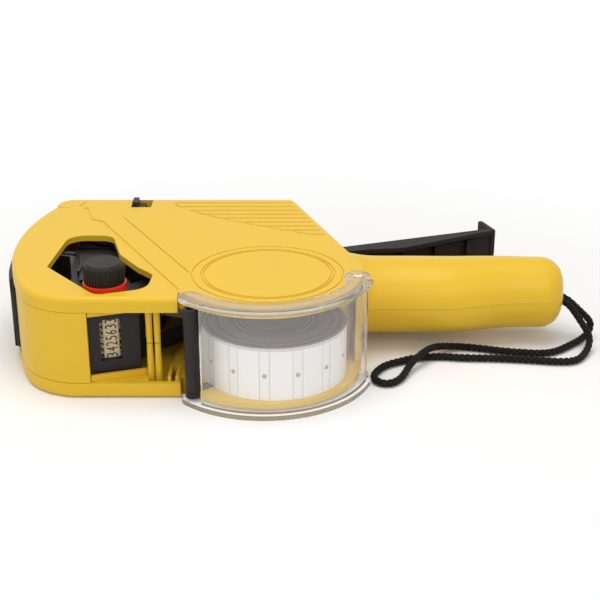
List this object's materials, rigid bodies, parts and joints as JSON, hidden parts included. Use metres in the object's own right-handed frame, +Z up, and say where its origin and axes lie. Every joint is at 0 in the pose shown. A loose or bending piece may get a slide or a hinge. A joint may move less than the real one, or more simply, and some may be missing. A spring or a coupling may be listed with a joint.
{
  "type": "hand-held price labeler",
  "caption": "Hand-held price labeler with a squeeze lever, swinging print head with type wheels, clear cover over the label roll, and a wrist strap.",
  "frame": {"origin": "on the rest plane, under the axis of the round label compartment", "axes": "+X from the nose to the handle's end, +Z up through the thickness; the part lies on its left side"},
  "size_m": [0.2487, 0.1385, 0.0511],
  "materials": {
    "yellow_shell": "satin moulded plastic with a fine grain",
    "black_plastic": "satin moulded plastic",
    "lever_plastic": "matt moulded plastic",
    "head_plastic": "satin moulded plastic",
    "rubber": "matt rubber",
    "ink_foam": "ink-soaked foam",
    "clear_plastic": "clear polished plastic",
    "paper": "smooth label paper",
    "cardboard": "card tube",
    "red_plastic": "glossy moulded plastic",
    "type_gold": "gold-faced type",
    "grey_plastic": "satin moulded plastic",
    "steel": "plain steel",
    "strap_cord": "braided cord"
  },
  "bodies": {
    "body": {"right_shell": "yellow_shell", "left_shell": "yellow_shell", "shell_screws": "steel", "nose_guard": "black_plastic", "ink_cover_pin": "steel", "ink_axle": "steel", "cover_post": "black_plastic", "label_web": "paper", "lever_pin": "steel", "platen": "black_plastic", "peel_plate": "steel", "feed_axle": "steel", "pressure_axle": "steel", "under_cover_pin": "steel", "strap_cord": "strap_cord"},
    "lever": {"trigger_lever": "lever_plastic", "return_spring": "steel"},
    "print_head": {"head_frame": "head_plastic", "wheel_tube": "grey_plastic", "selector_collar": "red_plastic"},
    "selector": {"selector_shaft": "steel"},
    "knob": {"selector_knob": "black_plastic"},
    "cover": {"label_cover": "clear_plastic", "cover_bar": "black_plastic"},
    "ink_door": {"ink_cover": "yellow_shell"},
    "ink_roll": {"ink_roller": "ink_foam"},
    "front_roller": {"nose_roller": "rubber"},
    "roll": {"label_roll": "paper", "roll_core": "cardboard"},
    "feed": {"feed_wheel": "grey_plastic"},
    "presser": {"pressure_roller": "rubber"},
    "under_door": {"under_cover": "yellow_shell"},
    "latch": {"cover_latch": "black_plastic"},
    "wheel_1": {"type_wheel_1": "type_gold"},
    "wheel_2": {"type_wheel_2": "type_gold"},
    "wheel_3": {"type_wheel_3": "type_gold"},
    "wheel_4": {"type_wheel_4": "type_gold"},
    "wheel_5": {"type_wheel_5": "type_gold"},
    "wheel_6": {"type_wheel_6": "type_gold"},
    "wheel_7": {"type_wheel_7": "type_gold"}
  },
  "joints": [
    {"name": "lever_pull", "type": "hinge", "parent": "body", "child": "lever", "pos_m": [0.0175, 0.054, 0.02125], "axis": [0, 0, -1], "range_deg": [0, 15], "stiffness_Nm_per_rad": 0.35, "springref_deg": -17.19},
    {"name": "head_swing", "type": "hinge", "parent": "body", "child": "print_head", "pos_m": [-0.033, 0.023, 0.02125], "axis": [0, 0, -1], "range_deg": [0, 62]},
    {"name": "selector_slide", "type": "slide", "parent": "print_head", "child": "selector", "axis": [0, 0, 1], "range_m": [0, 0.0144]},
    {"name": "knob_turn", "type": "hinge", "parent": "selector", "child": "knob", "pos_m": [-0.0625, -0.0085, 0.02125], "axis": [0, 0, 1], "continuous": true},
    {"name": "wheel_1_turn", "type": "hinge", "parent": "print_head", "child": "wheel_1", "pos_m": [-0.0625, -0.0085, 0.02125], "axis": [0, 0, 1], "continuous": true},
    {"name": "wheel_2_turn", "type": "hinge", "parent": "print_head", "child": "wheel_2", "pos_m": [-0.0625, -0.0085, 0.02125], "axis": [0, 0, 1], "continuous": true},
    {"name": "wheel_3_turn", "type": "hinge", "parent": "print_head", "child": "wheel_3", "pos_m": [-0.0625, -0.0085, 0.02125], "axis": [0, 0, 1], "continuous": true},
    {"name": "wheel_4_turn", "type": "hinge", "parent": "print_head", "child": "wheel_4", "pos_m": [-0.0625, -0.0085, 0.02125], "axis": [0, 0, 1], "continuous": true},
    {"name": "wheel_5_turn", "type": "hinge", "parent": "print_head", "child": "wheel_5", "pos_m": [-0.0625, -0.0085, 0.02125], "axis": [0, 0, 1], "continuous": true},
    {"name": "wheel_6_turn", "type": "hinge", "parent": "print_head", "child": "wheel_6", "pos_m": [-0.0625, -0.0085, 0.02125], "axis": [0, 0, 1], "continuous": true},
    {"name": "wheel_7_turn", "type": "hinge", "parent": "print_head", "child": "wheel_7", "pos_m": [-0.0625, -0.0085, 0.02125], "axis": [0, 0, 1], "continuous": true},
    {"name": "label_cover_open", "type": "hinge", "parent": "body", "child": "cover", "pos_m": [-0.02782, -0.02734, 0.02125], "axis": [0, 0, -1], "range_deg": [0, 100]},
    {"name": "ink_cover_open", "type": "hinge", "parent": "body", "child": "ink_door", "pos_m": [-0.09653, -0.0015, 0.02125], "axis": [0, 0, -1], "range_deg": [0, 85]},
    {"name": "ink_roller_spin", "type": "hinge", "parent": "body", "child": "ink_roll", "pos_m": [-0.08818, -0.00634, 0.02125], "axis": [0, 0, 1], "continuous": true},
    {"name": "nose_roller_spin", "type": "hinge", "parent": "body", "child": "front_roller", "pos_m": [-0.09974, 0.005, 0.02125], "axis": [0, 0, 1], "continuous": true},
    {"name": "label_roll_spin", "type": "hinge", "parent": "body", "child": "roll", "pos_m": [0.0034, -0.0075, 0.02125], "axis": [0, 0, 1], "continuous": true},
    {"name": "feed_wheel_spin", "type": "hinge", "parent": "body", "child": "feed", "pos_m": [-0.062, 0.066, 0.02125], "axis": [0, 0, 1], "continuous": true},
    {"name": "pressure_roller_spin", "type": "hinge", "parent": "body", "child": "presser", "pos_m": [-0.0471, 0.066, 0.02125], "axis": [0, 0, 1], "continuous": true},
    {"name": "under_cover_open", "type": "hinge", "parent": "body", "child": "under_door", "pos_m": [-0.09119, 0.088, 0.02125], "axis": [0, 0, 1], "range_deg": [0, 100]},
    {"name": "latch_slide", "type": "slide", "parent": "body", "child": "latch", "axis": [1, 0, 0], "range_m": [0, 0.003], "stiffness_N_per_m": 300, "springref_m": -0.002}
  ],
  "couplings": [
    {"joint": "head_swing", "follows": "lever_pull", "ratio": 4.13}
  ]
}
